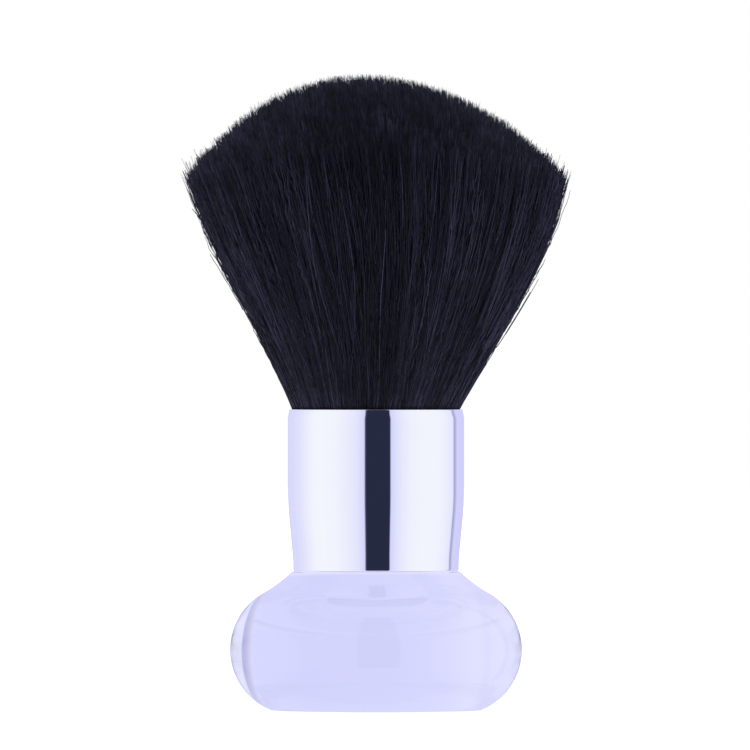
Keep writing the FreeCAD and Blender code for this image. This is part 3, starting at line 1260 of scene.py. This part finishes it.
@dataclass
class BristleHead:
    """The free bristles: a dense dark middle, strands round its side and over its dome, and a few strays."""

    shape: HeadShape = field(default_factory=HeadShape)
    layers: tuple[StrandLayer, ...] = (
        SIDE_STRANDS, DOME_STRANDS, CROSSING_STRANDS, FRINGE_STRANDS, STRAY_STRANDS,
    )
    fibre: BristleFibre = BristleFibre()
    grouping: Grouping = Grouping()
    habit: StrandHabit = StrandHabit()
    core_ring: float = 0.93
    core_sink: float = 2.2 * MM
    core_segments: int = 120
    core_side_steps: int = 26
    core_dome_steps: int = 14
    core_crease: float = 60.0
    bend_end: float = 78.0 * MM

    def build(self) -> Iterator[Piece]:
        """Builds, dresses and attaches the head's pieces, and gives them one by one."""
        core = self.core()
        dress(core, PACKED_BRISTLE.make())
        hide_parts("bristle_waist", "bristle_head")
        yield self.attached(core)
        material = self.fibre.make()
        tree = StrandTree(self.values(self.layers[0], 0, material), self.habit)
        for layer in self.layers:
            for index in range(layer.pieces):
                strands = tree.grow(f"{layer.name}_{index + 1}", self.values(layer, index, material))
                yield self.attached(strands)

    def attached(self, piece: Piece) -> Piece:
        """Lets a piece bend from the ferrule's mouth as the head sways."""
        start = (0.0, 0.0, self.shape.mouth_height)
        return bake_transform(piece, HANDLE, BRISTLES, start=start, end=(0.0, 0.0, self.bend_end))

    def values(self, layer: StrandLayer, index: int, material: Material) -> dict[str, Value]:
        """The strand tree's inputs for one piece of a layer.

        Args:
            layer: the layer.
            index: which of its pieces.
            material: the strands' material.

        Returns:
            The inputs by name.
        """
        sector = FULL_TURN / layer.pieces
        values = asdict(layer) | asdict(self.grouping)
        values |= {name: getattr(self.shape, name) for name in self.shape.FOR_STRANDS}
        values |= {"seed": layer.seed + index, "bins": self.fibre.bins, "material": material}
        values |= {"sector_start": sector * (index - 0.5), "sector_size": sector}
        del values["name"], values["pieces"]
        return values

    def core(self) -> Piece:
        """The dense middle of the bundle, a little inside its outline and its dome."""
        sink = self.core_sink / self.shape.rise
        bottom = self.grouping.root_share
        side_steps, dome_steps = self.core_side_steps, self.core_dome_steps
        levels = [(self.core_ring, step / side_steps) for step in range(side_steps + 1)]
        levels += [(self.core_ring * (1 - step / dome_steps), 1.0) for step in range(1, dome_steps + 1)]
        rings: list[list[Point]] = []
        for size, climb in [(0.0, 0.0), *levels]:
            ring = []
            for step in range(self.core_segments):
                turn = FULL_TURN * step / self.core_segments
                x, y = size * math.cos(turn), size * math.sin(turn)
                top = self.shape.tip_share(x, y) - sink
                ring.append(self.shape.place(x, y, bottom + (top - bottom) * climb))
            rings.append(ring)
        return ringed_piece("bristle_core", rings, self.core_crease)


# ---- studio


@dataclass
class Studio:
    """A white sweep, big soft side panels and a dark gap between them where the camera stands."""

    camera_distance: float = 3.0
    camera_reach: float = 20.0
    camera_height: float = 66.16 * MM
    camera_aside: float = -0.2 * MM
    view_width: float = 148.1 * MM
    sensor: float = 36.0
    floor_half: float = 6.0
    floor_drop: float = 0.2 * MM
    floor_glow: float = 0.75
    floor_grain: Pattern = Pattern(60.0, 4.0)
    floor_whites: tuple[Colour, Colour] = ((0.90, 0.90, 0.90), (0.92, 0.92, 0.92))
    dark: Colour = (0.020, 0.024, 0.054)
    bright: Colour = (0.92, 0.935, 1.0)
    gap_edges: Span = (-14.0, 19.0)
    gap_softness: float = 0.5
    gap_frame: float = 0.66
    above_gap: Span = (60.0, 65.0)
    below_gap: Span = (-27.0, -30.0)
    below_brightness: float = 0.76
    below_share: float = 0.9
    through_brightness: float = 0.72
    through_share: float = 0.4
    panels: tuple[Span, ...] = (
        (-180.0, 0.645), (-160.0, 0.670), (-152.0, 0.715), (-146.0, 0.720), (-142.5, 0.685), (-139.0, 0.720),
        (-121.0, 0.760), (-105.0, 0.840), (-91.0, 0.902), (-78.0, 0.920), (-56.0, 0.895), (-37.0, 0.835),
        (-26.0, 0.785), (28.0, 0.760), (37.5, 0.830), (47.0, 0.877), (68.0, 0.903), (92.0, 0.895),
        (106.0, 0.860), (120.0, 0.790), (122.5, 0.760), (133.0, 0.650), (160.0, 0.628), (180.0, 0.645),
    )
    strip: tuple[tuple[float, Colour], ...] = (
        (123.5, (0.36, 0.40, 0.70)), (126.5, (0.38, 0.41, 0.68)),
        (129.0, (0.50, 0.48, 0.70)), (131.5, (0.60, 0.57, 0.82)),
    )

    def build(self) -> None:
        """Builds the sweep, the surroundings and the camera."""
        self.surroundings()
        self.floor()
        self.camera()
        bpy.context.scene.view_settings.view_transform = "Standard"

    def panel(self, brightness: float) -> Colour:
        """The cool white of the side panels at a brightness: the dimmer, the bluer."""
        green = brightness * (1.0 + 0.06 * (brightness - 0.6))
        return (brightness, green, min(1.0, 0.91 + 0.09 * brightness))

    def stops(self, gap: bool) -> list[tuple[float, Colour]]:
        """The colour all round, by angle from the camera's direction, as ramp stops.

        Args:
            gap: whether the dark gap between the panels is there.

        Returns:
            Pairs of a place along the ramp and a colour.
        """
        brightest = 1.0 if gap else self.through_brightness
        by_angle = [(angle, self.panel(min(brightness, brightest))) for angle, brightness in self.panels]
        by_angle += list(self.strip)
        if gap:
            (left, right), frame = self.gap_edges, self.panel(self.gap_frame)
            by_angle += [(left - self.gap_softness, frame), (left, self.dark)]
            by_angle += [(right, self.dark), (right + self.gap_softness, frame)]
        return sorted(((angle + 180.0) / 360.0, colour) for angle, colour in by_angle)

    def surroundings(self) -> None:
        """Sets the light all round: white to the camera, panels and gap to everything else."""
        world = bpy.data.worlds.new("studio_light")
        bpy.context.scene.world = world
        world.use_nodes = True
        bench = Bench(world.node_tree)
        bench.tree.nodes.clear()
        x, y, z = bench.arrow("ShaderNodeTexCoord", {}, {}, "Generated").parts()
        turn = x.maths("ARCTAN2", y * -1.0) / FULL_TURN + 0.5
        with_gap, closed = (
            bench.add("ShaderNodeValToRGB", {"stops": self.stops(gap)}, {"Fac": turn}).outputs["Color"]
            for gap in (True, False)
        )
        through_base = bench.signal("ShaderNodeLightPath", {}, {}, "Is Transmission Ray")
        panels = bench.blend_colours(through_base * self.through_share, with_gap, closed)
        above, below = (
            z.between(*(math.sin(math.radians(angle)) for angle in edge))
            for edge in (self.above_gap, self.below_gap)
        )
        panels = bench.blend_colours(above, panels, self.bright)
        panels = bench.blend_colours(below * self.below_share, panels, self.panel(self.below_brightness))
        for_camera = bench.signal("ShaderNodeLightPath", {}, {}, "Is Camera Ray")
        seen = bench.blend_colours(for_camera, panels, WHITE)
        background = bench.add("ShaderNodeBackground", {}, {"Color": seen, "Strength": 1.0})
        bench.add("ShaderNodeOutputWorld", {}, {"Surface": background.outputs["Background"]})

    def floor(self) -> None:
        """Lays the white sweep under the brush."""
        half, height = self.floor_half, -self.floor_drop
        mesh = bpy.data.meshes.new("white_sweep")
        corners = [(-half, -half, height), (half, -half, height), (half, half, height), (-half, half, height)]
        mesh.from_pydata(corners, [], [(0, 1, 2, 3)])
        sweep = placed("white_sweep", mesh)
        constants = {"Emission Color": WHITE, "Emission Strength": self.floor_glow}
        bench = SurfaceBench("white_sweep", constants | {"Roughness": 0.9, "Specular IOR Level": 0.0})
        grain = bench.noise(self.floor_grain)
        dress(sweep, bench.feed(Base_Color=bench.blend_colours(grain, *self.floor_whites)))
        sweep.visible_glossy = False
        sweep.visible_transmission = False

    def camera(self) -> None:
        """Sets the camera level with the middle of the brush, far off with a long lens."""
        data = bpy.data.cameras.new("front_camera")
        data.sensor_width = self.sensor
        data.lens = self.sensor * self.camera_distance / self.view_width
        data.clip_end = self.camera_reach
        camera = placed("front_camera", data)
        camera.location = (self.camera_aside, -self.camera_distance, self.camera_height)
        camera.rotation_euler = (math.pi / 2, 0.0, 0.0)
        bpy.context.scene.camera = camera


def main() -> None:
    """Builds the studio and the brush, from the base up, and reports each piece."""
    logging.basicConfig(level=logging.INFO, format="%(message)s")
    Studio().build()
    InnerFittings().build()
    pieces = [ClearBase().build(), Ferrule().build()]
    pieces += BristleHead().build()
    for piece in pieces:
        log.info("built %s with %d triangles", piece.name, triangles(piece))


if __name__ == "__main__":
    main()
